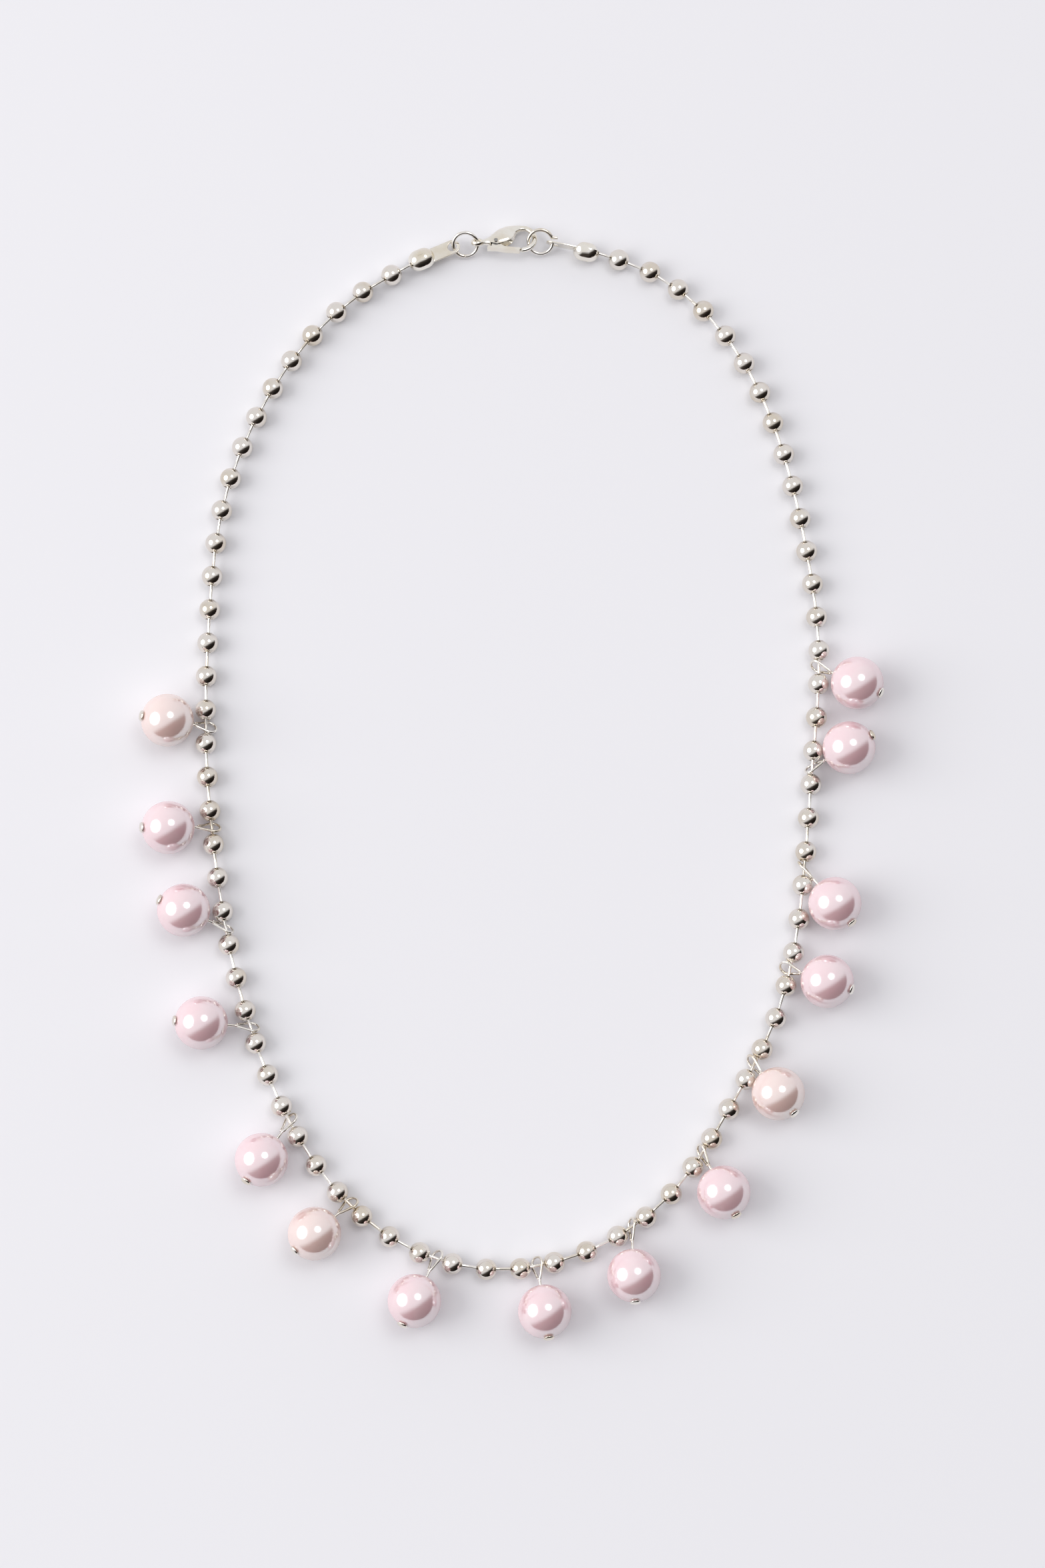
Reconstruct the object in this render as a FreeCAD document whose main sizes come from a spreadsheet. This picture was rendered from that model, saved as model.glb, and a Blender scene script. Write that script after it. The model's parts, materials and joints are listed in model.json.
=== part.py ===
import FreeCAD, Part
import math
import os
import Sketcher

from FreeCAD import Placement, Rotation, Vector

# Charm necklace, lying flat as a closed loop.
#
# A ball-and-bar chain (hollow beads joined by headed bars) carries fifteen pearl charms. Each charm
# is a pearl threaded on a headpin whose eye goes round one bar. The chain's ends are held in cup
# connectors, and two jump rings and a lobster clasp close the loop at the nape.
#
# Frame: millimetres, +Z up, the necklace rests on Z = 0, +Y points to the clasp and the origin is
# the middle of the loop's outline on the surface. Chain items are counted from the left connector
# (bead 0) round the front to the right connector.

SIZES = [
    # alias, value, meaning
    ("pitch", 5.6, "centre to centre of neighbouring beads"),
    ("bead_diameter", 3.5, "outside of a hollow bead"),
    ("bead_wall", 0.18, "sheet of a bead"),
    ("bead_hole", 1.3, "hole that a bar goes through"),
    ("bar_diameter", 0.55, "wire of a bar"),
    ("bar_head", 1.42, "ball at each end of a bar, held inside a bead"),
    ("head_offset", 0.76, "bead centre to the centre of a bar's head"),
    ("end_bar_span", 3.6, "head to head on the short bar at each end of the chain"),
    ("pearl_diameter", 8.7, "pearl"),
    ("pin_wire", 0.44, "wire of a headpin"),
    ("bore_clearance", 0.08, "radial play between a headpin and its pearl"),
    ("pin_head", 1.8, "disc head of a headpin"),
    ("pin_head_top", 1.2, "top of that disc, which tapers"),
    ("pin_head_height", 0.45, "height of that disc"),
    ("pin_head_play", 0.06, "gap between the head and the pearl"),
    ("eye_radius", 1.15, "round end of a headpin's eye, to the wire's centre"),
    ("eye_neck_radius", 0.35, "narrow end of the eye, to the wire's centre"),
    ("eye_length", 2.25, "between the centres of those two ends"),
    ("ring_radius", 2.05, "jump ring, to the wire's centre"),
    ("ring_wire", 0.6, "wire of a jump ring"),
    ("ring_sweep", 352.0, "degrees of wire in a jump ring, the rest is its cut"),
    ("sprung_sweep", 338.0, "degrees of wire in the right ring, which has sprung open"),
    ("ring_tail", 0.9, "end of the right ring's wire that stands proud"),
    ("cup_radius", 1.85, "outside of a connector's cup"),
    ("cup_length", 0.9, "straight middle of the cup"),
    ("cup_wall", 0.3, "sheet of a connector"),
    ("lid_radius", 1.35, "outside of the folded lid opposite the cup"),
    ("cup_entry", 1.04, "hole that the end bar goes through"),
    ("cup_seat", 0.85, "bar head's centre to the centre of the cup's first round end"),
    ("strap_width", 2.6, "flat strap of a connector"),
    ("strap_reach", 6.9, "bar head's centre to the strap's hole"),
    ("strap_hole", 1.6, "hole for the jump ring"),
    ("ring_seat", 0.2, "middle of the strap's hole to the middle of the ring's wire"),
    ("clasp_bore", 1.3, "hole in the clasp's eye"),
    ("clasp_eye", 1.1, "outside radius of the clasp's eye"),
    ("clasp_eye_depth", 0.8, "length of the hole in the eye"),
    ("claw_centre_x", 7.4, "centre of the hook's arc along the clasp"),
    ("claw_centre_y", 0.65, "centre of the hook's arc across the clasp"),
    ("claw_radius", 2.65, "outside of the hook"),
    ("claw_arm", 0.85, "width of the hook's arm"),
    ("claw_depth", 0.8, "thickness of the hook"),
    ("claw_play", 0.35, "gap between the ring's wire and the end of the hook"),
    ("claw_seat_y", 0.45, "middle of the ring's wire in the hook, across the clasp"),
    ("neck_start", 0.78, "clasp's eye to the start of its neck"),
    ("neck_half", 0.54, "half the height of the neck there"),
    ("back_rise", 0.6, "rise of the body's back above the hook's centre line"),
    ("heel_rise", 0.21, "step from the inside of the hook up to the heel"),
    ("clasp_depth", 2.0, "thickness of the clasp's broad body"),
    ("lever_pivot_x", 3.1, "lever's pin along the clasp"),
    ("lever_pivot_y", -0.2, "lever's pin across the clasp"),
    ("lever_pin", 0.7, "diameter of the lever's pin"),
    ("lever_root", 0.75, "radius of the lever round its pin"),
    ("lever_sheet", 0.45, "thickness of the lever's root, along the pin"),
    ("lever_width", 1.0, "width of the lever's arm"),
    ("lever_arm", 0.55, "height of the lever's arm"),
    ("lever_reach", 4.35, "lever's pin to the tip of the lever"),
    ("lever_top", 1.06, "outside of the hook up to the top of the lever's arm"),
    ("tab_room", 0.2, "bevel under the lever's thumb tab"),
    ("tab_slope", 0.14, "slope of the end of the tab"),
    ("root_slope", 0.15, "slope of the lever's top at its root"),
    ("arm_slope", 0.18, "slope of the lever's underside near its tip"),
    ("lever_gap", 0.12, "gap between the lever's tip and the hook's tip"),
    ("slot_width", 1.3, "slot in the clasp for the lever and its spring"),
    ("slot_gap", 0.1, "room between the lever and the slot's end"),
    ("pin_play", 0.05, "radial play of the lever on its pin"),
    ("pin_fit", 0.01, "radial gap of the pin in the clasp's cheeks"),
    ("spring_wire", 0.2, "wire of the lever's return spring"),
    ("spring_turns", 2.0, "turns of that spring round the pin"),
    ("nest_play", 0.05, "smallest play left between nested pieces"),
    ("clasp_x", -5.75, "clasp's eye across the necklace"),
    ("clasp_y", 89.5, "clasp's eye towards the nape"),
    ("clasp_z", 2.2, "clasp's eye above the surface"),
    ("right_cup_z", 1.95, "right connector's line above the surface"),
]

# Outline that the chain follows from its left end to its right end, chosen by hand. The two ends
# come from the closure; the rest grows or shrinks with the chain until its beads just fill it.
OUTLINE = [
    (-33.5, 73.4),
    (-42.7, 59.4),
    (-48.2, 43.8),
    (-50.0, 27.2),
    (-50.4, 4.9),
    (-49.0, -11.9),
    (-45.0, -33.9),
    (-39.7, -49.7),
    (-31.6, -64.4),
    (-19.6, -75.8),
    (-3.8, -80.9),
    (12.8, -77.8),
    (26.2, -68.5),
    (35.5, -54.9),
    (43.1, -40.4),
    (46.6, -27.4),
    (48.3, -13.4),
    (49.8, 4.1),
    (50.8, 20.6),
    (49.0, 36.8),
    (45.3, 53.3),
    (38.8, 68.9),
    (28.0, 81.4),
]

BEAD_COUNT = 73
# Beads where the chain folds, from the front towards the nape, on the left and on the right side.
FOLD_LEFT = [29, 23, 18, 12, 6]
FOLD_RIGHT = [42, 48, 53, 59, 65]

# One charm hangs on every third bar. For each: reach from the bar to the pearl's centre, lean of
# the pin along the chain in degrees, twist of the eye round the pin in degrees, and length of
# straight wire between the eye and the pearl.
FIRST_CHARM_BAR = 15
CHARM_STEP = 3
CHARMS = [
    (6.7, -8, 40, 0.18),
    (7.4, -4, 50, 0.53),
    (7.7, -33, 52, 0.75),
    (8.3, -22, 48, 1.44),
    (8.1, 27, 62, 1.31),
    (7.8, -5, 45, 0.91),
    (8.1, -8, 50, 1.21),
    (7.9, -1, 42, 1.01),
    (8.3, -32, 56, 1.42),
    (7.7, -29, 53, 0.82),
    (6.7, -24, 52, 0.10),
    (6.8, -7, 42, 0.30),
    (8.1, -46, 84, 1.16),
    (7.1, 32, -50, 0.10),
    (7.3, -25, 49, 0.45),
]

# Headings of the closure's pieces in degrees, anticlockwise from +X, and how far each is rolled
# round its own line.
LEFT_BAR_HEADING = 29
LEFT_CUP_HEADING = 23
LEFT_CUP_ROLL = -15
LEFT_RING_HEADING = 9
LEFT_RING_ROLL = 32
CLASP_HEADING = 0
CLASP_ROLL = -22
RIGHT_RING_HEADING = -8
RIGHT_RING_ROLL = 29
RIGHT_CUP_HEADING = -12
RIGHT_CUP_ROLL = -90
RIGHT_BAR_HEADING = -17
# Where each jump ring's wire is cut, in degrees from the line through its two contact points, and
# the heading of the wire end that stands proud, measured at the cut.
LEFT_RING_CUT = -100
RIGHT_RING_CUT = 30
TAIL_HEADING = -30
# Where the inside of the clasp's hook ends at its throat, and the corners of the hollow in the
# lever's arm round its root, in degrees.
THROAT_TURN = 140
HOLLOW_TURNS = [-150, -120, -90, -60, -30]

doc = FreeCAD.newDocument("charm_necklace")


def make_sheet():
    """Put the driving dimensions and the charms' settings in one spreadsheet."""
    table = doc.addObject("Spreadsheet::Sheet", "Sizes")
    rows = [(alias, value, meaning) for alias, value, meaning in SIZES]
    for number, (reach, lean, twist, neck) in enumerate(CHARMS, start=1):
        rows.append((f"charm_reach_{number:02d}", reach, "bar to the pearl's centre"))
        rows.append((f"charm_lean_{number:02d}", lean, "degrees along the chain"))
        rows.append((f"charm_twist_{number:02d}", twist, "degrees round the pin"))
        rows.append((f"charm_neck_{number:02d}", neck, "straight wire before the pearl"))
    for row, (alias, value, meaning) in enumerate(rows, start=1):
        table.set(f"A{row}", meaning)
        table.set(f"B{row}", str(value))
        table.setAlias(f"B{row}", alias)
    doc.recompute()
    return table


sheet = make_sheet()


def size(alias):
    """Value of a named dimension."""
    return float(sheet.get(alias))


def bind(solid, **formulas):
    """Bind an object's properties to formulas over the sheet; __ stands for a dot."""
    for key, formula in formulas.items():
        solid.setExpression(key.replace("__", "."), formula)
    return solid


def primitive(kind, name, **formulas):
    """Add a Part primitive whose sizes follow the sheet."""
    return bind(doc.addObject(f"Part::{kind}", name), **formulas)


def fuse(name, shapes):
    """Join primitives into one solid."""
    joined = doc.addObject("Part::MultiFuse", name)
    joined.Shapes = shapes
    return joined


def cut(name, base, tool):
    """Take one solid out of another."""
    result = doc.addObject("Part::Cut", name)
    result.Base = base
    result.Tool = tool
    return result


def origin_plane(body, role):
    """A body's own origin plane or axis by its role."""
    return next(item for item in body.Origin.OriginFeatures if item.Role == role)


def sketch_on(body, name, plane, edges):
    """Sketch of ready-made edges on one of the body's origin planes."""
    sketch = body.newObject("Sketcher::SketchObject", name)
    sketch.AttachmentSupport = (origin_plane(body, plane), "")
    sketch.MapMode = "FlatFace"
    for edge in edges:
        sketch.addGeometry(edge)
    return sketch


def both_ways(body, kind, name, sketch, length):
    """Pad or Pocket that runs the same way on both sides of its sketch."""
    feature = body.newObject(f"PartDesign::{kind}", name)
    feature.Profile = sketch
    feature.SideType = "Symmetric"
    feature.setExpression("Length", length)
    body.Tip = feature
    return feature


def closed_outline(corners):
    """Straight edges round a closed list of (x, y) corners."""
    points = [Vector(x, y, 0) for x, y in corners]
    return [Part.LineSegment(a, b) for a, b in zip(points, points[1:] + points[:1])]


def circle(x, y, radius):
    """Circle in a sketch's plane."""
    return Part.Circle(Vector(x, y, 0), Vector(0, 0, 1), radius)


def on_circle(x, y, radius, degrees):
    """Point of a circle by its angle."""
    turn = math.radians(degrees)
    return Vector(x + radius * math.cos(turn), y + radius * math.sin(turn), 0)


def heading(degrees):
    """Unit vector in the plane of the surface."""
    return on_circle(0, 0, 1, degrees)


def facing(along, across):
    """Rotation that turns local Z to `along` and local X as near to `across` as it can."""
    sideways = across - along * across.dot(along)
    return Rotation(sideways, along.cross(sideways), along, "ZXY")


def rolled_upright(across, roll):
    """Unit vector square to `across`, straight up when `roll` is 0 and turned about it by `roll`."""
    upright = (Vector(0, 0, 1) - across * across.z).normalize()
    return Rotation(across, roll).multVec(upright)


# --- where things go ---------------------------------------------------------------------------

CHAIN_HEIGHT = Vector(0, 0, size("bead_diameter") / 2)


def stride(span, degrees, rise):
    """Step of a given length and heading that climbs by `rise`."""
    return heading(degrees) * math.sqrt(span ** 2 - rise ** 2) + Vector(0, 0, rise)


def closure_points():
    """Points where the closure's pieces meet, from the left chain end to the right one."""
    ring_span = 2 * size("ring_radius")
    cup_span = size("strap_reach") + size("ring_seat")
    bar_span = size("end_bar_span") + size("head_offset")
    left_rise = size("clasp_z") - CHAIN_HEIGHT.z
    eye = Vector(size("clasp_x"), size("clasp_y"), size("clasp_z"))
    left_strap = eye - stride(ring_span, LEFT_RING_HEADING, left_rise)
    left_head = left_strap - stride(cup_span, LEFT_CUP_HEADING, 0)
    claw = clasp_placement(eye).multVec(claw_contact())
    right_strap = claw + stride(ring_span, RIGHT_RING_HEADING, size("right_cup_z") - claw.z)
    right_head = right_strap + stride(cup_span, RIGHT_CUP_HEADING, 0)
    right_fall = CHAIN_HEIGHT.z - size("right_cup_z")
    return {
        "left_bead": left_head - stride(bar_span, LEFT_BAR_HEADING, 0),
        "left_head": left_head,
        "left_strap": left_strap,
        "eye": eye,
        "claw": claw,
        "right_strap": right_strap,
        "right_head": right_head,
        "right_bead": right_head + stride(bar_span, RIGHT_BAR_HEADING, right_fall),
    }


def claw_contact():
    """Where the right ring's wire lies inside the hook, in the clasp's own frame."""
    inner = size("claw_radius") - size("claw_arm")
    room = inner - size("ring_wire") / 2 - size("claw_play")
    return Vector(size("claw_centre_x") + room, size("claw_seat_y"), 0)


def clasp_placement(eye):
    """The clasp's frame: origin in its eye, X along it, Z across its thickness."""
    roll = Rotation(heading(CLASP_HEADING), CLASP_ROLL)
    return Placement(eye, roll.multiply(Rotation(Vector(0, 0, 1), CLASP_HEADING)))


def chain_curve(scale):
    """Smooth line of the chain with its outline grown or shrunk about the clasp."""
    ends = closure_points()
    anchor = Vector(size("clasp_x"), size("clasp_y"), 0)
    middle = [anchor + (Vector(x, y, 0) - anchor) * scale + CHAIN_HEIGHT for x, y in OUTLINE]
    curve = Part.BSplineCurve()
    curve.interpolate([ends["left_bead"]] + middle + [ends["right_bead"]])
    return curve


def fitted_chain():
    """Curve whose length is a whole number of pitches, found by halving the scale's range."""
    wanted = (BEAD_COUNT - 1) * size("pitch")
    low, high = 0.5, 2.0
    for _ in range(40):
        scale = (low + high) / 2
        if chain_curve(scale).length() < wanted:
            low = scale
        else:
            high = scale
    return chain_curve(scale)


def bead_centres():
    """Centres of all beads, a pitch apart along the chain."""
    curve = fitted_chain()
    start = curve.FirstParameter
    places = [curve.parameterAtDistance(number * size("pitch"), start) for number in range(BEAD_COUNT)]
    return [curve.value(place) for place in places]


closure = closure_points()
beads = bead_centres()
stops = [closure["left_head"]] + beads + [closure["right_head"]]


def bar_direction(number):
    """Unit vector of the bar from bead `number` to the next; -1 is the left end bar."""
    return (stops[number + 2] - stops[number + 1]).normalize()


def bar_start(number):
    """Centre of the first head of bar `number`."""
    if number < 0:
        return closure["left_head"]
    return beads[number] + bar_direction(number) * size("head_offset")


def charm_frame(number):
    """Middle of a charm's bar, the pin's direction, the bar's direction and the pearl's centre."""
    bar = FIRST_CHARM_BAR + CHARM_STEP * (number - 1)
    along = bar_direction(bar)
    middle = (beads[bar] + beads[bar + 1]) / 2
    outward = along.cross(Vector(0, 0, 1))
    reach = size(f"charm_reach_{number:02d}")
    lean = math.radians(size(f"charm_lean_{number:02d}"))
    rise = (size("pearl_diameter") - size("bead_diameter")) / 2 / reach
    level = outward * math.cos(lean) + along * math.sin(lean)
    pin = level * math.sqrt(1 - rise ** 2) + Vector(0, 0, rise)
    return middle, pin, along, middle + pin * reach


# --- chain -------------------------------------------------------------------------------------


def make_bead():
    """Hollow bead with a hole at each end of its Z axis."""
    shell = primitive("Sphere", "bead_shell", Radius="Sizes.bead_diameter / 2")
    hollow = primitive("Sphere", "bead_hollow", Radius="Sizes.bead_diameter / 2 - Sizes.bead_wall")
    holes = primitive("Cylinder", "bead_holes", Radius="Sizes.bead_hole / 2",
                      Height="2 * Sizes.bead_diameter", Placement__Base__z="-Sizes.bead_diameter")
    return cut("bead", shell, fuse("bead_inside", [hollow, holes]))


def make_bar(name, span):
    """Bar along Z from the centre of one ball head to the other."""
    wire = primitive("Cylinder", f"{name}_wire", Radius="Sizes.bar_diameter / 2", Height=span)
    first = primitive("Sphere", f"{name}_first_head", Radius="Sizes.bar_head / 2")
    last = primitive("Sphere", f"{name}_last_head", Radius="Sizes.bar_head / 2", Placement__Base__z=span)
    return fuse(name, [wire, first, last])


def placed(master, place, along):
    """Copy of a master's shape moved to a place, its Z axis turned to `along`."""
    shape = master.Shape.copy()
    shape.Placement = Placement(place, Rotation(Vector(0, 0, 1), along))
    return shape


def group(name, shapes):
    """One node that holds several equal solids of the chain."""
    node = doc.addObject("Part::Feature", name)
    node.Shape = Part.makeCompound(shapes)
    node.Label = name
    return node


def placed_bead(master, number):
    """Bead `number`, lined up with the bars on both sides."""
    along = (bar_direction(number - 1) + bar_direction(number)).normalize()
    return placed(master, beads[number], along)


def placed_bar(master, end_master, number):
    """Bar `number`; the first and last are the short end bars."""
    ends = (-1, BEAD_COUNT - 1)
    chosen = end_master if number in ends else master
    return placed(chosen, bar_start(number), bar_direction(number))


def chain_sections():
    """Name, bead numbers and bar numbers of each stretch of chain between fold lines."""
    front_low, front_high = FOLD_LEFT[0] + 1, FOLD_RIGHT[0]
    sections = [("front", range(front_low, front_high), range(front_low - 1, front_high))]
    left_limits = FOLD_LEFT + [-1]
    right_limits = FOLD_RIGHT + [BEAD_COUNT]
    for step in range(len(FOLD_LEFT)):
        low, high = left_limits[step + 1] + 1, left_limits[step] + 1
        sections.append((f"left_{step + 1}", range(low, high), range(low - 1, high - 1)))
        low, high = right_limits[step], right_limits[step + 1]
        sections.append((f"right_{step + 1}", range(low, high), range(low, high)))
    return sections


def make_chain():
    """All beads and bars, one node of each per section."""
    bead = make_bead()
    bar = make_bar("bar", "Sizes.pitch - 2 * Sizes.head_offset")
    end_bar = make_bar("end_bar", "Sizes.end_bar_span")
    doc.recompute()
    nodes = []
    for name, bead_numbers, bar_numbers in chain_sections():
        nodes.append(group(f"beads_{name}", [placed_bead(bead, number) for number in bead_numbers]))
        nodes.append(group(f"bars_{name}", [placed_bar(bar, end_bar, number) for number in bar_numbers]))
    return nodes


# --- charms ------------------------------------------------------------------------------------


def make_pearl(number):
    """Drilled pearl of charm `number`."""
    _, pin, _, centre = charm_frame(number)
    name = f"pearl_{number:02d}"
    ball = primitive("Sphere", f"{name}_ball", Radius="Sizes.pearl_diameter / 2")
    bore = primitive("Cylinder", f"{name}_bore", Radius="Sizes.pin_wire / 2 + Sizes.bore_clearance",
                     Height="2 * Sizes.pearl_diameter", Placement__Base__z="-Sizes.pearl_diameter")
    pearl = cut(name, ball, bore)
    pearl.Placement = Placement(centre, Rotation(Vector(0, 0, 1), pin))
    return pearl


def make_arc(name, centre, start, sweep, **formulas):
    """Bent wire in the XZ plane round a centre, from `start` degrees off +X towards +Z."""
    arc = primitive("Torus", name, Radius2="Sizes.pin_wire / 2", **formulas)
    arc.Angle3 = sweep
    turn = math.radians(start)
    outward = Vector(math.cos(turn), 0, math.sin(turn))
    onward = Vector(-math.sin(turn), 0, math.cos(turn))
    arc.Placement = Placement(centre, Rotation(outward, onward, Vector(0, -1, 0), "ZXY"))
    return arc


def make_eye(name, near):
    """Teardrop eye of a headpin below `near`, the centre of its narrow end on the pin's line."""
    wide, narrow, length = size("eye_radius"), size("eye_neck_radius"), size("eye_length")
    flank = math.degrees(math.asin((wide - narrow) / length))
    far_centre, near_centre = Vector(0, 0, near - length), Vector(0, 0, near)
    pieces = [
        make_arc(f"{name}_round", far_centre, 180 - flank, 180 + 2 * flank, Radius1="Sizes.eye_radius"),
        make_arc(f"{name}_neck", near_centre, flank, 180 - 2 * flank, Radius1="Sizes.eye_neck_radius"),
    ]
    for label, sign in (("left", -1), ("right", 1)):
        side = primitive("Cylinder", f"{name}_{label}_side", Radius="Sizes.pin_wire / 2",
                         Height="sqrt(Sizes.eye_length ^ 2 - (Sizes.eye_radius - Sizes.eye_neck_radius) ^ 2)")
        turn = math.radians(flank)
        foot = far_centre + Vector(sign * wide * math.cos(turn), 0, wide * math.sin(turn))
        side.Placement = Placement(foot, Rotation(Vector(0, 1, 0), -sign * flank))
        pieces.append(side)
    return pieces


def make_headpin(number):
    """Headpin of charm `number`: eye round the bar, wire through the pearl, disc head beyond it."""
    middle, pin, along, _ = charm_frame(number)
    name = f"headpin_{number:02d}"
    reach, neck = f"Sizes.charm_reach_{number:02d}", f"Sizes.charm_neck_{number:02d}"
    foot = size(f"charm_reach_{number:02d}") - size("pearl_diameter") / 2 - size(f"charm_neck_{number:02d}") \
        - size("pin_wire") / 2
    over_pearl = f"{reach} + Sizes.pearl_diameter / 2 + Sizes.pin_head_play"
    start = f"{reach} - Sizes.pearl_diameter / 2 - {neck} - Sizes.pin_wire / 2"
    shank = primitive("Cylinder", f"{name}_shank", Radius="Sizes.pin_wire / 2", Placement__Base__z=start,
                      Height=f"{over_pearl} - ({start})")
    disc = primitive("Cone", f"{name}_disc", Radius1="Sizes.pin_head / 2", Radius2="Sizes.pin_head_top / 2",
                     Height="Sizes.pin_head_height", Placement__Base__z=over_pearl)
    headpin = fuse(name, make_eye(name, foot - size("eye_neck_radius")) + [shank, disc])
    level = along - pin * along.dot(pin)
    twisted = Rotation(pin, size(f"charm_twist_{number:02d}")).multVec(level)
    headpin.Placement = Placement(middle, facing(pin, twisted))
    return headpin


# --- closure -----------------------------------------------------------------------------------


def make_ring(name, start, end, roll, cut_turn, sweep, tail=None):
    """Split jump ring from one contact point to the other, rolled about the line between them.

    `tail` is the length of a wire end that stands proud, if one does.
    """
    ring = primitive("Torus", f"{name}_wire", Radius1="Sizes.ring_radius", Radius2="Sizes.ring_wire / 2",
                     Angle3=sweep)
    if tail:
        proud = primitive("Cylinder", f"{name}_tail", Radius="Sizes.ring_wire / 2",
                          Height=tail, Placement__Base__x="Sizes.ring_radius")
        proud.Placement.Rotation = facing(heading(TAIL_HEADING), Vector(0, 0, 1))
        ring = fuse(f"{name}_whole", [ring, proud])
    across = (end - start).normalize()
    normal = rolled_upright(across, roll)
    turn = Rotation(Vector(0, 0, 1), cut_turn)
    ring.Placement = Placement((start + end) / 2, facing(normal, across).multiply(turn))
    ring.Label = name
    return ring


def make_connector(name, head, strap, roll):
    """Cup connector: domed cup and folded lid over the end bar's head, strap with a hole."""
    seat = "Sizes.cup_seat"
    second = "Sizes.cup_seat + Sizes.cup_length"
    parts = []
    for label, radius in (("cup", "Sizes.cup_radius"), ("lid", "Sizes.lid_radius")):
        for depth in ("", " - Sizes.cup_wall"):
            tag = f"{name}_{label}_{'outer' if not depth else 'inner'}"
            first_end = primitive("Sphere", f"{tag}_first", Radius=radius + depth, Placement__Base__x=seat)
            last_end = primitive("Sphere", f"{tag}_last", Radius=radius + depth, Placement__Base__x=second)
            middle = primitive("Cylinder", f"{tag}_middle", Radius=radius + depth,
                               Height="Sizes.cup_length", Placement__Base__x=seat)
            middle.Placement.Rotation = Rotation(Vector(0, 1, 0), 90)
            parts.append(fuse(tag, [first_end, last_end, middle]))
    cup_outer, cup_inner, lid_outer, lid_inner = parts
    below = primitive("Box", f"{name}_below", Length="8 * Sizes.cup_radius", Width="4 * Sizes.cup_radius",
                      Height="2 * Sizes.cup_radius", Placement__Base__x="-4 * Sizes.cup_radius",
                      Placement__Base__y="-2 * Sizes.cup_radius",
                      Placement__Base__z="-2 * Sizes.cup_radius - Sizes.cup_wall / 2")
    above = primitive("Box", f"{name}_above", Length="8 * Sizes.cup_radius", Width="4 * Sizes.cup_radius",
                      Height="2 * Sizes.cup_radius", Placement__Base__x="-4 * Sizes.cup_radius",
                      Placement__Base__y="-2 * Sizes.cup_radius", Placement__Base__z="Sizes.cup_wall / 2")
    cup = cut(f"{name}_cup", cup_outer, below)
    lid = cut(f"{name}_lid", lid_outer, above)
    strap_plate = primitive("Box", f"{name}_plate", Length="Sizes.strap_reach - Sizes.cup_seat",
                            Width="Sizes.strap_width", Height="Sizes.cup_wall",
                            Placement__Base__x=seat, Placement__Base__y="-Sizes.strap_width / 2",
                            Placement__Base__z="-Sizes.cup_wall / 2")
    strap_end = primitive("Cylinder", f"{name}_end", Radius="Sizes.strap_width / 2",
                          Height="Sizes.cup_wall", Placement__Base__x="Sizes.strap_reach",
                          Placement__Base__z="-Sizes.cup_wall / 2")
    solid = fuse(f"{name}_solid", [cup, lid, strap_plate, strap_end])
    hole = primitive("Cylinder", f"{name}_hole", Radius="Sizes.strap_hole / 2", Height="4 * Sizes.cup_wall",
                     Placement__Base__x="Sizes.strap_reach", Placement__Base__z="-2 * Sizes.cup_wall")
    entry = primitive("Cylinder", f"{name}_entry", Radius="Sizes.cup_entry / 2",
                      Height="Sizes.cup_radius", Placement__Base__x="-Sizes.cup_radius")
    entry.Placement.Rotation = Rotation(Vector(0, 1, 0), 90)
    connector = cut(name, solid, fuse(f"{name}_voids", [cup_inner, lid_inner, hole, entry]))
    across = (strap - head).normalize()
    normal = rolled_upright(across, roll)
    connector.Placement = Placement(head, Rotation(across, normal.cross(across), normal, "XZY"))
    return connector


def claw_edges():
    """Side outline of the clasp: neck, broad body with its shoulder, and the hook round to its tip."""
    x, y = size("claw_centre_x"), size("claw_centre_y")
    outer = size("claw_radius")
    inner = outer - size("claw_arm")
    pivot = Vector(size("lever_pivot_x"), size("lever_pivot_y"), 0)
    face = size("lever_reach") + size("lever_gap")
    tip_outer = tip_point(pivot, face, Vector(x, y, 0), outer)
    tip_inner = tip_point(pivot, face, Vector(x, y, 0), inner)
    shoulder = Vector(x - outer, y + outer, 0)
    back = Vector(shoulder.x - outer, y + size("back_rise"), 0)
    throat = on_circle(x, y, inner, THROAT_TURN)
    heel = Vector(x - outer, y - inner + size("heel_rise"), 0)
    sole = Vector(size("lever_pivot_x") - size("lever_root"), heel.y, 0)
    neck_low = Vector(size("neck_start"), -size("neck_half"), 0)
    neck_high = Vector(size("neck_start"), size("neck_half"), 0)
    return [
        Part.LineSegment(neck_high, back),
        Part.LineSegment(back, shoulder),
        Part.LineSegment(shoulder, Vector(x, y + outer, 0)),
        Part.Arc(Vector(x, y + outer, 0), Vector(x + outer, y, 0), tip_outer),
        Part.LineSegment(tip_outer, tip_inner),
        Part.Arc(tip_inner, Vector(x + inner, y, 0), throat),
        Part.LineSegment(throat, heel),
        Part.LineSegment(heel, sole),
        Part.LineSegment(sole, neck_low),
        Part.LineSegment(neck_low, neck_high),
    ]


def tip_point(pivot, reach, centre, radius):
    """Lower crossing of a circle about the lever's pin with one of the hook's two arcs."""
    line = centre - pivot
    along = (reach ** 2 - radius ** 2 + line.Length ** 2) / (2 * line.Length)
    off = math.sqrt(reach ** 2 - along ** 2)
    unit = Vector(line).normalize()
    return pivot + unit * along + Vector(unit.y, -unit.x, 0) * off


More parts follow.
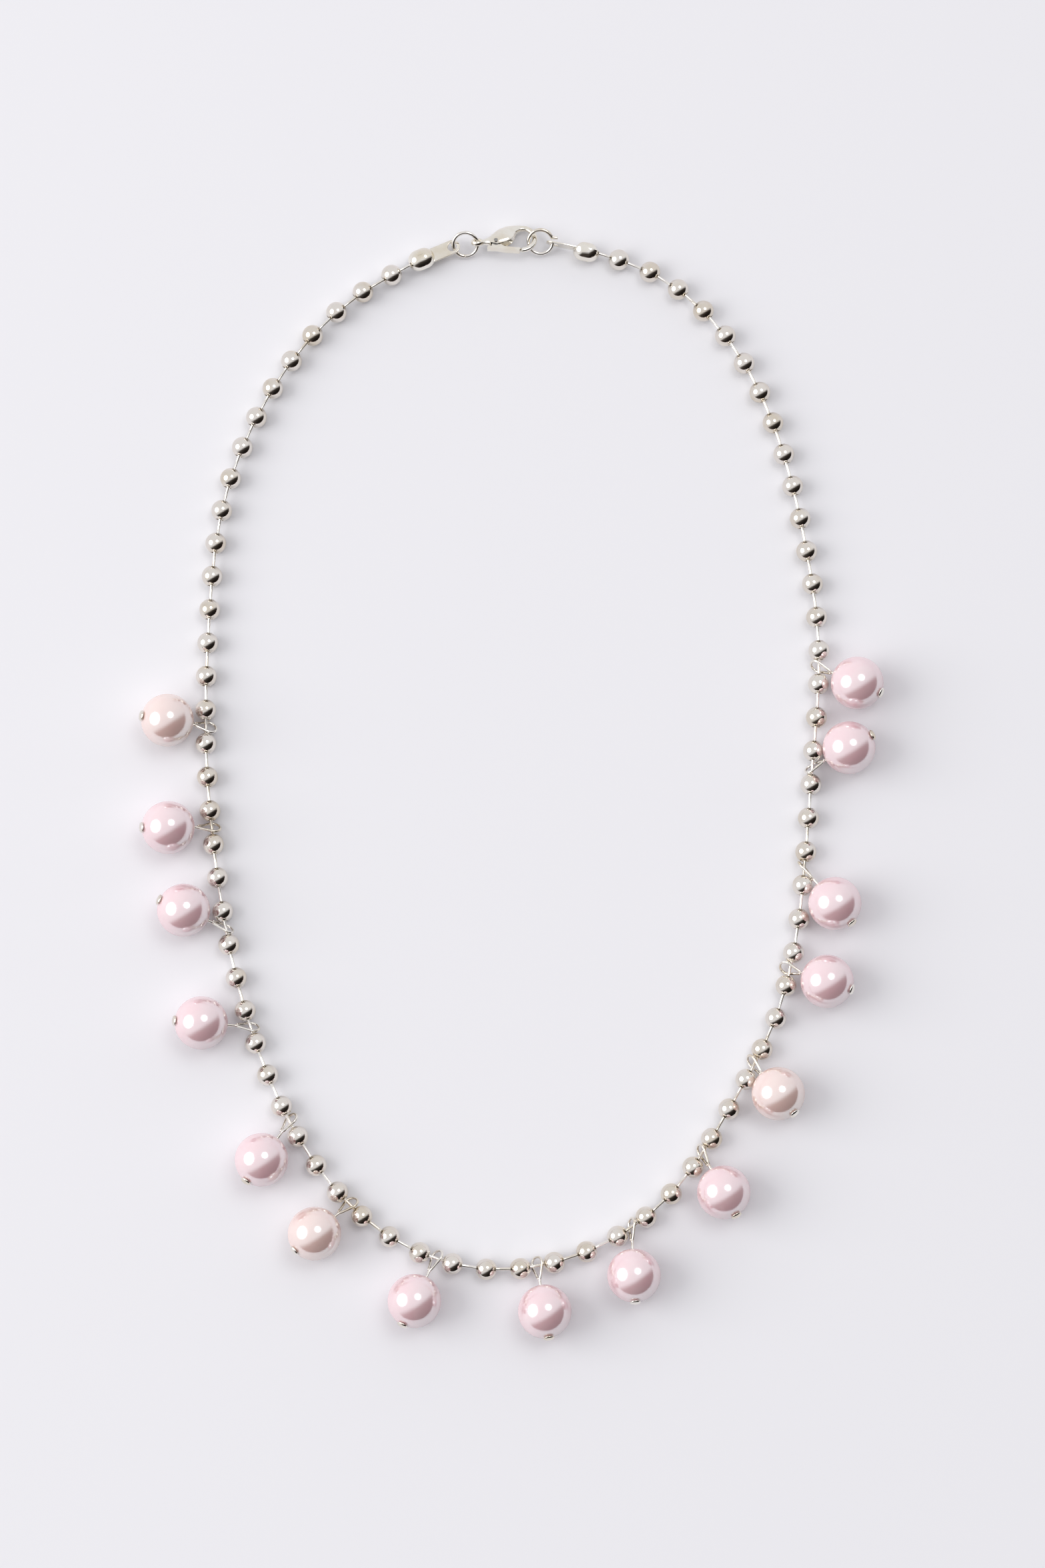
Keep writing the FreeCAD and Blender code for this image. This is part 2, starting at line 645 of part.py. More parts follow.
def make_clasp_body():
    """Cast clasp: eye, neck, broad body with the lever's slot, and hook."""
    body = doc.addObject("PartDesign::Body", "clasp_body")
    profile = sketch_on(body, "claw_profile", "XY_Plane", claw_edges())
    both_ways(body, "Pad", "claw_pad", profile, "Sizes.clasp_depth")
    half, thin = size("clasp_depth") / 2, size("claw_depth") / 2
    x, outer = size("claw_centre_x"), size("claw_radius")
    start, end = 0.0, x + 2 * outer
    broad = size("lever_pivot_x") - size("lever_root")
    leaf = x - outer + size("claw_arm")
    for side, sign in (("front", 1), ("back", -1)):
        corners = [(start, sign * thin), (broad, sign * half), (leaf, sign * half), (x, sign * thin),
                   (end, sign * thin), (end, sign * 2 * half), (start, sign * 2 * half)]
        trim = sketch_on(body, f"{side}_trim", "XZ_Plane", closed_outline(corners))
        both_ways(body, "Pocket", f"{side}_taper", trim, "8 * Sizes.claw_radius")
    eye_tilt = Placement(Vector(0, 0, 0), Rotation(Vector(1, 0, 0), LEFT_RING_ROLL - CLASP_ROLL))
    boss = sketch_on(body, "eye_boss", "XZ_Plane", [circle(0, 0, size("clasp_eye"))])
    boss.AttachmentOffset = eye_tilt
    boss.addConstraint(Sketcher.Constraint("Radius", 0, size("clasp_eye")))
    boss.setExpression("Constraints[0]", "Sizes.clasp_eye")
    both_ways(body, "Pad", "eye_pad", boss, "Sizes.clasp_eye_depth")
    bore = sketch_on(body, "eye_bore", "XZ_Plane", [circle(0, 0, size("clasp_bore") / 2)])
    bore.AttachmentOffset = eye_tilt
    bore.addConstraint(Sketcher.Constraint("Radius", 0, size("clasp_bore") / 2))
    bore.setExpression("Constraints[0]", "Sizes.clasp_bore / 2")
    both_ways(body, "Pocket", "eye_hole", bore, "4 * Sizes.clasp_eye")
    slot = sketch_on(body, "lever_slot", "XY_Plane", slot_edges())
    both_ways(body, "Pocket", "slot_pocket", slot, "Sizes.slot_width")
    pivot = sketch_on(body, "pin_hole", "XY_Plane",
                      [circle(size("lever_pivot_x"), size("lever_pivot_y"), size("lever_pin") / 2)])
    both_ways(body, "Pocket", "pin_pocket", pivot, "4 * Sizes.clasp_depth")
    body.Placement = clasp_placement(closure["eye"])
    return body


def slot_edges():
    """Slot that the lever's root turns in, open on the hook's side and underneath."""
    pivot_x, pivot_y = size("lever_pivot_x"), size("lever_pivot_y")
    room = size("lever_root") + size("slot_gap")
    floor = -2 * size("claw_radius")
    corners = [(pivot_x - room, pivot_y + room), (2 * pivot_x, pivot_y + room), (2 * pivot_x, floor),
               (pivot_x - room, floor)]
    return closed_outline(corners)


def lever_edges():
    """Side outline of the lever: thumb tab below the neck, hollow round the spring, arm and tip."""
    pivot = Vector(size("lever_pivot_x"), size("lever_pivot_y"), 0)
    centre = Vector(size("claw_centre_x"), size("claw_centre_y"), 0)
    reach, arm, root = size("lever_reach"), size("lever_arm"), size("lever_root")
    tip_low = tip_point(pivot, reach, centre, size("claw_radius"))
    tip_high = tip_point(pivot, reach, centre, size("claw_radius") - arm)
    sole = size("claw_centre_y") - size("claw_radius") + size("lever_top")
    tab_end = size("clasp_eye") + arm
    hollow = [on_circle(pivot.x, pivot.y, root - size("nest_play"), turn) for turn in HOLLOW_TURNS]
    corners = [(point.x, point.y) for point in hollow]
    corners += [(pivot.x + 2 * root, sole - size("tab_room")), (tip_high.x, tip_high.y),
                (tip_low.x, tip_low.y), (pivot.x + 2 * root, tip_low.y + size("arm_slope")),
                (pivot.x, sole - arm), (tab_end, sole - arm),
                (tab_end + size("tab_slope"), sole - size("tab_room")),
                (pivot.x - root, sole - size("root_slope"))]
    return closed_outline(corners)


def make_clasp_lever():
    """Lever: round root on the pin, thumb tab and arm."""
    body = doc.addObject("PartDesign::Body", "clasp_lever")
    root = body.newObject("PartDesign::AdditiveCylinder", "lever_root_disc")
    bind(root, Radius="Sizes.lever_root", Height="Sizes.lever_sheet",
         Placement__Base__x="Sizes.lever_pivot_x", Placement__Base__y="Sizes.lever_pivot_y",
         Placement__Base__z="-Sizes.slot_width / 2 + Sizes.nest_play")
    arm = sketch_on(body, "lever_arm_outline", "XY_Plane", lever_edges())
    both_ways(body, "Pad", "lever_arm_pad", arm, "Sizes.lever_width")
    hole = sketch_on(body, "lever_hole_outline", "XY_Plane",
                     [circle(size("lever_pivot_x"), size("lever_pivot_y"),
                             size("lever_pin") / 2 + size("pin_play"))])
    both_ways(body, "Pocket", "lever_hole", hole, "4 * Sizes.lever_width")
    body.Placement = clasp_placement(closure["eye"])
    return body


def make_clasp_pin():
    """Riveted pin that the lever turns on."""
    pin = primitive("Cylinder", "clasp_pin", Radius="Sizes.lever_pin / 2 - Sizes.pin_fit",
                    Height="Sizes.clasp_depth")
    local = Vector(size("lever_pivot_x"), size("lever_pivot_y"), -size("clasp_depth") / 2)
    pin.Placement = clasp_placement(closure["eye"]).multiply(Placement(local, Rotation()))
    return pin


def make_clasp_spring():
    """Return spring coiled round the pin beside the lever's root."""
    wire = size("spring_wire")
    radius = size("lever_pin") / 2 + size("nest_play") + wire / 2
    gap = wire + size("nest_play") / 2
    coil = Part.makeHelix(gap, gap * size("spring_turns"), radius)
    start = Part.Wire([Part.Circle(Vector(radius, 0, 0), Vector(0, 1, 0), wire / 2).toShape()])
    shape = Part.Wire(coil.Edges).makePipeShell([start], True, True)
    root_top = size("nest_play") + size("lever_sheet") - size("slot_width") / 2
    base = Vector(size("lever_pivot_x"), size("lever_pivot_y"), root_top + size("nest_play") + wire / 2)
    spring = doc.addObject("Part::Feature", "clasp_spring")
    spring.Shape = shape
    spring.Placement = clasp_placement(closure["eye"]).multiply(Placement(base, Rotation()))
    return spring


def make_closure():
    """Connectors, jump rings and clasp, in order from the left chain end to the right one."""
    at = closure
    return [
        make_connector("connector_left", at["left_head"], at["left_strap"], LEFT_CUP_ROLL),
        make_ring("jump_ring_left", at["left_strap"], at["eye"], LEFT_RING_ROLL, LEFT_RING_CUT,
                  "Sizes.ring_sweep"),
        make_clasp_body(),
        make_clasp_lever(),
        make_clasp_pin(),
        make_clasp_spring(),
        make_ring("jump_ring_right", at["claw"], at["right_strap"], RIGHT_RING_ROLL, RIGHT_RING_CUT,
                  "Sizes.sprung_sweep", tail="Sizes.ring_tail"),
        make_connector("connector_right", at["right_head"], at["right_strap"], RIGHT_CUP_ROLL),
    ]


def check_and_export(nodes):
    """Stop on any failed object, then write each node's STEP file."""
    doc.recompute()
    for item in doc.Objects:
        if "Invalid" in item.State or "Error" in item.State:
            raise RuntimeError(f"{item.Name} failed: {item.State}")
    for node in nodes:
        if node.Shape.isNull() or not node.Shape.isValid():
            raise RuntimeError(f"{node.Label} has no valid shape")
    os.makedirs("parts", exist_ok=True)
    for node in nodes:
        node.Shape.exportStep(f"parts/{node.Label}.step")


charm_numbers = range(1, len(CHARMS) + 1)
nodes = make_chain()
nodes += [make_pearl(number) for number in charm_numbers]
nodes += [make_headpin(number) for number in charm_numbers]
nodes += make_closure()
check_and_export(nodes)
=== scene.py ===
"""Pearl charm necklace on a pale board: polished chain, pearls, headpins, rings and clasp."""

import json
import logging
import math
from collections.abc import Sequence
from dataclasses import dataclass, field
from enum import Enum

import bmesh
import bpy
import numpy as np
from mathutils import Matrix, Quaternion, Vector


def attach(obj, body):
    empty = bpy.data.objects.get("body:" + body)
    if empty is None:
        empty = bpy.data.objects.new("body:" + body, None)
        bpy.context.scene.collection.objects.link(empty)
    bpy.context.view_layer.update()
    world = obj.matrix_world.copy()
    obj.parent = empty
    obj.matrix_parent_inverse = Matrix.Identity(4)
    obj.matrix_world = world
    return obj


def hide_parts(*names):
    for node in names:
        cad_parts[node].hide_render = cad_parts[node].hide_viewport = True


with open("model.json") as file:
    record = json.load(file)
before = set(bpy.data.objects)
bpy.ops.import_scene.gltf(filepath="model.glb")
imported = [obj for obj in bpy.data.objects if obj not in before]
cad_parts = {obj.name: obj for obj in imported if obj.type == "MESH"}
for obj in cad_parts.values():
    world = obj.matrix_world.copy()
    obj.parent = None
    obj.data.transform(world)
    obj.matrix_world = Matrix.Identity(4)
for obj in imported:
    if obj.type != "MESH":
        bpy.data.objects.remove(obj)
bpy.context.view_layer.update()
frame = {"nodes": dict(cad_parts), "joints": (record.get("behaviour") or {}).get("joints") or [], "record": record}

LOG = logging.getLogger("necklace")
MM = 0.001
Colour = tuple[float, float, float, float]
Profile = Sequence[tuple[float, float]]


# --- colour and nodes ----------------------------------------------------------------------------


def hex_to_linear(code: str) -> Colour:
    """Turn an sRGB hex colour into a linear one.

    Args:
        code: six hex digits.

    Returns:
        Red, green, blue and an alpha of 1.
    """
    shares = [int(code[place:place + 2], 16) / 255 for place in (0, 2, 4)]
    linear = [share / 12.92 if share <= 0.04045 else ((share + 0.055) / 1.055) ** 2.4 for share in shares]
    return linear[0], linear[1], linear[2], 1.0


def add_node(tree: bpy.types.NodeTree, kind: str, links: dict | None = None, values: dict | None = None,
             **settings: object) -> bpy.types.Node:
    """Add a node with its settings, input values and links.

    Args:
        tree: node tree that takes the node.
        kind: Blender's name of the node type.
        links: input name or number to the socket that feeds it.
        values: input name or number to its fixed value.
        **settings: properties of the node itself.

    Returns:
        The new node.
    """
    node = tree.nodes.new(kind)
    for key, value in settings.items():
        setattr(node, key, value)
    for key, value in (values or {}).items():
        node.inputs[key].default_value = value
    for key, socket in (links or {}).items():
        tree.links.new(socket, node.inputs[key])
    return node


def new_material(name: str) -> tuple[bpy.types.Material, bpy.types.NodeTree, bpy.types.Node]:
    """Start a material from its shader.

    Args:
        name: material name.

    Returns:
        The material, its node tree and its Principled shader.
    """
    material = bpy.data.materials.new(name)
    material.use_nodes = True
    tree = material.node_tree
    tree.nodes.clear()
    shader = add_node(tree, "ShaderNodeBsdfPrincipled")
    add_node(tree, "ShaderNodeOutputMaterial", links={"Surface": shader.outputs["BSDF"]})
    return material, tree, shader


@dataclass(frozen=True)
class SilverPlate:
    """Bright silver plating over brass, barrel polished.

    The eye sees a warm mirror: a soft ripple from tumbling bends the reflections, and handling has
    left a faint film that dulls and yellows it in patches.
    """

    name: str
    clean: str
    filmed: str
    roughness: float
    film_roughness: float
    ripple_mm: float = 0.9
    ripple_share: float = 0.05
    film_mm: float = 5.0

    def material(self) -> bpy.types.Material:
        """Build the material."""
        material, tree, shader = new_material(self.name)
        place = add_node(tree, "ShaderNodeTexCoord").outputs["Object"]
        film = add_node(tree, "ShaderNodeTexNoise", links={"Vector": place},
                        values={"Scale": 1 / (self.film_mm * MM), "Detail": 3.0, "Roughness": 0.55})
        patch = add_node(tree, "ShaderNodeMapRange", links={"Value": film.outputs["Fac"]},
                         values={"From Min": 0.45, "From Max": 0.75})
        tint = add_node(tree, "ShaderNodeMix", data_type="RGBA", links={0: patch.outputs["Result"]},
                        values={6: hex_to_linear(self.clean), 7: hex_to_linear(self.filmed)})
        dull = add_node(tree, "ShaderNodeMapRange", links={"Value": patch.outputs["Result"]},
                        values={"To Min": self.roughness, "To Max": self.film_roughness})
        ripple = add_node(tree, "ShaderNodeTexNoise", links={"Vector": place},
                          values={"Scale": 1 / (self.ripple_mm * MM), "Detail": 2.0})
        bump = add_node(tree, "ShaderNodeBump", links={"Height": ripple.outputs["Fac"]},
                        values={"Strength": self.ripple_share, "Distance": 0.1 * MM})
        shader.inputs["Metallic"].default_value = 1.0
        tree.links.new(tint.outputs[2], shader.inputs["Base Color"])
        tree.links.new(dull.outputs["Result"], shader.inputs["Roughness"])
        tree.links.new(bump.outputs["Normal"], shader.inputs["Normal"])
        return material


@dataclass(frozen=True)
class PearlLacquer:
    """Pearl essence lacquer dipped over a moulded ball, then a clear coat.

    Its mica flakes carry a titania film with an index near 3, so the ball shows a soft mirror of the
    room over its pink. The
    clear coat adds a sharper gleam, and slow clouds and dip marks keep the ball from looking turned.
    """

    name: str
    body: str
    blush: str
    roughness: float = 0.15
    flake_ior: float = 2.9
    flake_share: float = 0.88
    overtone: str = "F0FFFF"
    cloud_mm: float = 3.2
    dip_mm: float = 1.6

    def material(self) -> bpy.types.Material:
        """Build the material."""
        material, tree, shader = new_material(self.name)
        place = add_node(tree, "ShaderNodeTexCoord").outputs["Object"]
        cloud = add_node(tree, "ShaderNodeTexNoise", links={"Vector": place},
                         values={"Scale": 1 / (self.cloud_mm * MM), "Detail": 4.0, "Distortion": 0.6})
        spread = add_node(tree, "ShaderNodeMapRange", links={"Value": cloud.outputs["Fac"]},
                          values={"From Min": 0.3, "From Max": 0.7})
        tint = add_node(tree, "ShaderNodeMix", data_type="RGBA", links={0: spread.outputs["Result"]},
                        values={6: hex_to_linear(self.body), 7: hex_to_linear(self.blush)})
        dip = add_node(tree, "ShaderNodeTexNoise", links={"Vector": place},
                       values={"Scale": 1 / (self.dip_mm * MM), "Detail": 2.0})
        bump = add_node(tree, "ShaderNodeBump", links={"Height": dip.outputs["Fac"]},
                        values={"Strength": 0.06, "Distance": 0.15 * MM})
        tree.links.new(tint.outputs[2], shader.inputs["Base Color"])
        tree.links.new(bump.outputs["Normal"], shader.inputs["Normal"])
        shader.inputs["Roughness"].default_value = self.roughness
        shader.inputs["IOR"].default_value = self.flake_ior
        shader.inputs["Specular IOR Level"].default_value = self.flake_share
        shader.inputs["Specular Tint"].default_value = hex_to_linear(self.overtone)
        shader.inputs["Coat Weight"].default_value = 0.35
        shader.inputs["Coat Roughness"].default_value = 0.05
        return material


@dataclass(frozen=True)
class DrawnSteel:
    """Hard drawn steel wire: fine die lines and a grey, slightly dull shine."""

    name: str
    tint: str
    roughness: float = 0.28
    line_mm: float = 0.12

    def material(self) -> bpy.types.Material:
        """Build the material."""
        material, tree, shader = new_material(self.name)
        place = add_node(tree, "ShaderNodeTexCoord").outputs["Object"]
        lines = add_node(tree, "ShaderNodeTexNoise", links={"Vector": place},
                         values={"Scale": 1 / (self.line_mm * MM), "Detail": 1.0})
        bump = add_node(tree, "ShaderNodeBump", links={"Height": lines.outputs["Fac"]},
                        values={"Strength": 0.2, "Distance": 0.02 * MM})
        shader.inputs["Base Color"].default_value = hex_to_linear(self.tint)
        shader.inputs["Metallic"].default_value = 1.0
        shader.inputs["Roughness"].default_value = self.roughness
        tree.links.new(bump.outputs["Normal"], shader.inputs["Normal"])
        return material


@dataclass(frozen=True)
class MattBoard:
    """Matt white display board."""

    name: str
    tint: str
    grain_mm: float = 0.4

    def material(self) -> bpy.types.Material:
        """Build the material."""
        material, tree, shader = new_material(self.name)
        place = add_node(tree, "ShaderNodeTexCoord").outputs["Object"]
        grain = add_node(tree, "ShaderNodeTexNoise", links={"Vector": place},
                         values={"Scale": 1 / (self.grain_mm * MM), "Detail": 2.0})
        bump = add_node(tree, "ShaderNodeBump", links={"Height": grain.outputs["Fac"]},
                        values={"Strength": 0.05, "Distance": 0.01 * MM})
        shader.inputs["Base Color"].default_value = hex_to_linear(self.tint)
        shader.inputs["Roughness"].default_value = 0.9
        shader.inputs["Specular IOR Level"].default_value = 0.1
        tree.links.new(bump.outputs["Normal"], shader.inputs["Normal"])
        return material


class Finish(Enum):
    """Every finish on the necklace and round it."""

    BEAD = SilverPlate("silver_plate_bead", "E8E2DA", "D8CCB8", 0.045, 0.12)
    WIRE = SilverPlate("silver_plate_wire", "F0ECE5", "DDD0BA", 0.07, 0.16, ripple_mm=0.6)
    CAST = SilverPlate("silver_plate_cast", "F1EDE4", "E0D5BF", 0.06, 0.14, ripple_mm=1.4, ripple_share=0.1)
    PINK = PearlLacquer("pearl_lacquer_pink", "F9C7CD", "FAD0D4")
    PEACH = PearlLacquer("pearl_lacquer_peach", "F9CEC6", "FAD6CD")
    STEEL = DrawnSteel("drawn_steel", "9C9A96")
    BOARD = MattBoard("matt_board", "EDECEF")

    def material(self) -> bpy.types.Material:
        """The finish's material, built the first time it is asked for."""
        return bpy.data.materials.get(self.value.name) or self.value.material()


# --- mesh drafting -------------------------------------------------------------------------------


def smooth_line(stations: Sequence[Sequence[float]], steps: int) -> np.ndarray:
    """Pass a smooth line through stations.

    Args:
        stations: rows of numbers, such as x, y and a width.
        steps: points between two neighbouring stations.

    Returns:
        One row for each point of the line.
    """
    rows = np.array(stations, float)
    padded = np.vstack([2 * rows[0] - rows[1], rows, 2 * rows[-1] - rows[-2]])
    line = []
    for place in range(len(rows) - 1):
        before, start, end, after = padded[place:place + 4]
        for step in range(steps):
            t = step / steps
            square = 2 * before - 5 * start + 4 * end - after
            cube = 3 * start - before - 3 * end + after
            line.append(0.5 * (2 * start + (end - before) * t + square * t ** 2 + cube * t ** 3))
    line.append(rows[-1])
    return np.array(line)


def arc(centre: tuple[float, float], radius: float, start: float, end: float, steps: int) -> list:
    """Points of a circle's arc.

    Args:
        centre: middle of the circle.
        radius: its radius.
        start: first angle in degrees.
        end: last angle in degrees.
        steps: number of stretches.

    Returns:
        A list of (x, y) points.
    """
    turns = [math.radians(start + (end - start) * step / steps) for step in range(steps + 1)]
    return [(centre[0] + radius * math.cos(turn), centre[1] + radius * math.sin(turn)) for turn in turns]


class Draft:
    """Points in millimetres and faces, gathered into one mesh object."""

    def __init__(self) -> None:
        """Start empty."""
        self.points: list[Vector] = []
        self.faces: list[list[int]] = []

    def rings(self, rings: Sequence[Sequence[Vector]], closed: bool = False, capped: bool = True) -> None:
        """Skin a row of rings that have the same number of points.

        Args:
            rings: rings of points, in order.
            closed: whether the last ring joins the first.
            capped: whether the two end rings are filled.
        """
        first, count, size = len(self.points), len(rings), len(rings[0])
        for ring in rings:
            self.points.extend(ring)
        for row in range(count if closed else count - 1):
            low, high = first + row * size, first + (row + 1) % count * size
            for spot in range(size):
                after = (spot + 1) % size
                self.faces.append([low + spot, low + after, high + after, high + spot])
        if capped and not closed:
            last = first + (count - 1) * size
            self.faces.append(list(range(first, first + size))[::-1])
            self.faces.append(list(range(last, last + size)))

    def turned(self, profile: Profile, place: Matrix, steps: int = 40, stretch: float = 0.0,
               closed: bool = False) -> None:
        """Turn a profile about the local Z axis, or about a straight run of that axis along X.

        Args:
            profile: (radius, height) pairs.
            place: where the result goes.
            steps: points round the axis.
            stretch: length of the run along X.
            closed: whether the profile's last point joins its first.
        """
        rings = []
        for radius, height in profile:
            ring = []
            for step in range(steps):
                turn = 2 * math.pi * (step + 0.5) / steps
                shift = stretch if math.cos(turn) > 0 else 0.0
                across = shift + radius * math.cos(turn)
                ring.append(place @ Vector((across, radius * math.sin(turn), height)))
            rings.append(ring)
        self.rings(rings, closed, capped=not closed)

    def swept(self, path: Sequence[Vector], sizes: Sequence[tuple[float, float]], across: Vector,
              steps: int = 16, power: float = 2.0, closed: bool = False) -> None:
        """Sweep a rounded section along a path.

        Args:
            path: centre of each section.
            sizes: each section's half width and half depth.
            across: direction of the section's depth, kept as near as it can be.
            steps: points round the section.
            power: 2 gives an ellipse, more gives a squarer section.
            closed: whether the path is a loop.
        """
        rings = []
        depth_way = across.normalized()
        for place, (centre, (wide, deep)) in enumerate(zip(path, sizes)):
            before = path[place - 1] if place or closed else path[0]
            after = path[(place + 1) % len(path)] if place + 1 < len(path) or closed else path[-1]
            along = (after - before).normalized()
            depth_way = (depth_way - along * depth_way.dot(along)).normalized()
            width_way = depth_way.cross(along)
            ring = []
            for step in range(steps):
                turn = 2 * math.pi * step / steps
                run, rise = math.cos(turn), math.sin(turn)
                run = math.copysign(abs(run) ** (2 / power), run)
                rise = math.copysign(abs(rise) ** (2 / power), rise)
                ring.append(centre + width_way * (run * wide) + depth_way * (rise * deep))
            rings.append(ring)
        self.rings(rings, closed)

    def plate(self, outline: Sequence[tuple[float, float]], low: float, high: float, place: Matrix) -> None:
        """Extrude a flat outline between two heights."""
        rings = [[place @ Vector((x, y, height)) for x, y in outline] for height in (low, high)]
        self.rings(rings)

    def make(self, name: str, finish: Finish, sharp: float = 40.0) -> bpy.types.Object:
        """Make the object.

        Args:
            name: object name.
            finish: its finish.
            sharp: angle in degrees above which an edge stays crisp.

        Returns:
            The linked object.
        """
        mesh = bpy.data.meshes.new(name)
        mesh.from_pydata([point * MM for point in self.points], [], self.faces)
        draft = bmesh.new()
        draft.from_mesh(mesh)
        bmesh.ops.recalc_face_normals(draft, faces=draft.faces)
        draft.to_mesh(mesh)
        draft.free()
        mesh.shade_smooth()
        mesh.set_sharp_from_angle(angle=math.radians(sharp))
        mesh.materials.append(finish.material())
        piece = bpy.data.objects.new(name, mesh)
        bpy.context.scene.collection.objects.link(piece)
        return piece


def wire_ends(path: list[Vector], radius: float) -> tuple[list[Vector], list[tuple[float, float]]]:
    """Round off both ends of a wire.

    Args:
        path: centre line of the wire.
        radius: radius of the wire.

    Returns:
        The longer path and the section sizes that go with it.
    """
    shares = [(-1.0, 0.05), (-0.9, 0.45), (-0.6, 0.8), (-0.25, 0.97)]
    start, end = (path[0] - path[1]).normalized(), (path[-1] - path[-2]).normalized()
    reach = 0.5 * radius
    head = [path[0] - start * (share * reach) for share, _ in shares]
    tail = [path[-1] - end * (share * reach) for share, _ in reversed(shares)]
    sizes = [(radius * grow, radius * grow) for _, grow in shares]
    return head + path + tail, sizes + [(radius, radius)] * len(path) + sizes[::-1]


def carved(piece: bpy.types.Object, tools: Sequence[bpy.types.Object],
           bevel: float = 0.0) -> bpy.types.Object:
    """Cut tools out of a piece and round its crisp edges.

    Args:
        piece: object that is cut.
        tools: objects taken out of it, which are then removed.
        bevel: radius in millimetres of the rounding, or 0 for none.

    Returns:
        The piece with its modifiers applied.
    """
    for tool in tools:
        modifier = piece.modifiers.new("cut", "BOOLEAN")
        modifier.operation = "DIFFERENCE"
        modifier.solver = "EXACT"
        modifier.object = tool
    if bevel:
        rounding = piece.modifiers.new("rounding", "BEVEL")
        rounding.width = bevel * MM
        rounding.segments = 3
        rounding.limit_method = "ANGLE"
        rounding.angle_limit = math.radians(35)
    bpy.context.view_layer.update()
    result = bpy.data.meshes.new_from_object(piece.evaluated_get(bpy.context.evaluated_depsgraph_get()))
    piece.modifiers.clear()
    piece.data = result
    result.shade_smooth()
    result.set_sharp_from_angle(angle=math.radians(40))
    for tool in tools:
        bpy.data.objects.remove(tool)
    return piece


def frame_of(origin: Vector, across: Vector, normal: Vector) -> Matrix:
    """Matrix of a local frame.

    Args:
        origin: its origin in millimetres.
        across: direction of its X axis.
        normal: direction of its Z axis, made square to X.

    Returns:
        The matrix.
    """
    x = across.normalized()
    z = (normal - x * normal.dot(x)).normalized()
    y = z.cross(x)
    return Matrix.Translation(origin) @ Matrix((x, y, z)).transposed().to_4x4()


def rolled(across: Vector, degrees: float) -> Vector:
    """Upright direction square to a line, turned about that line."""
    x = across.normalized()
    upright = (Vector((0, 0, 1)) - x * x.z).normalized()
    return Quaternion(x, math.radians(degrees)) @ upright


# --- reading the frame ---------------------------------------------------------------------------


def joint(name: str) -> tuple[Vector, Vector]:
    """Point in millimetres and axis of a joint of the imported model."""
    entry = next(item for item in frame["joints"] if item["name"] == name)
    return Vector(entry["pos_m"]) / MM, Vector(entry["axis"]).normalized()


def body_of(node: str) -> str:
    """Name of the body that a CAD node belongs to."""
    bodies = frame["record"]["behaviour"]["bodies"]
    return next(name for name, members in bodies.items() if node in members)


def loose_solids(node: str) -> list[np.ndarray]:
    """Split a CAD node's mesh into its separate solids.

    Args:
        node: name of the node.

    Returns:
        The points of each solid in millimetres. Solids and points come in the mesh's own order, so
        that every run reads them alike.
    """
    draft = bmesh.new()
    draft.from_mesh(frame["nodes"][node].data)
    bmesh.ops.remove_doubles(draft, verts=draft.verts, dist=1e-6)
    waiting = set(draft.verts)
    solids = []
    for seed in draft.verts:
        if seed not in waiting:
            continue
        waiting.remove(seed)
        front = [seed]
        points = []
        while front:
            vertex = front.pop()
            points.append(tuple(vertex.co))
            for edge in vertex.link_edges:
                other = edge.other_vert(vertex)
                if other in waiting:
                    waiting.remove(other)
                    front.append(other)
        solids.append(np.array(points) / MM)
    draft.free()
    return solids


# --- chain ---------------------------------------------------------------------------------------


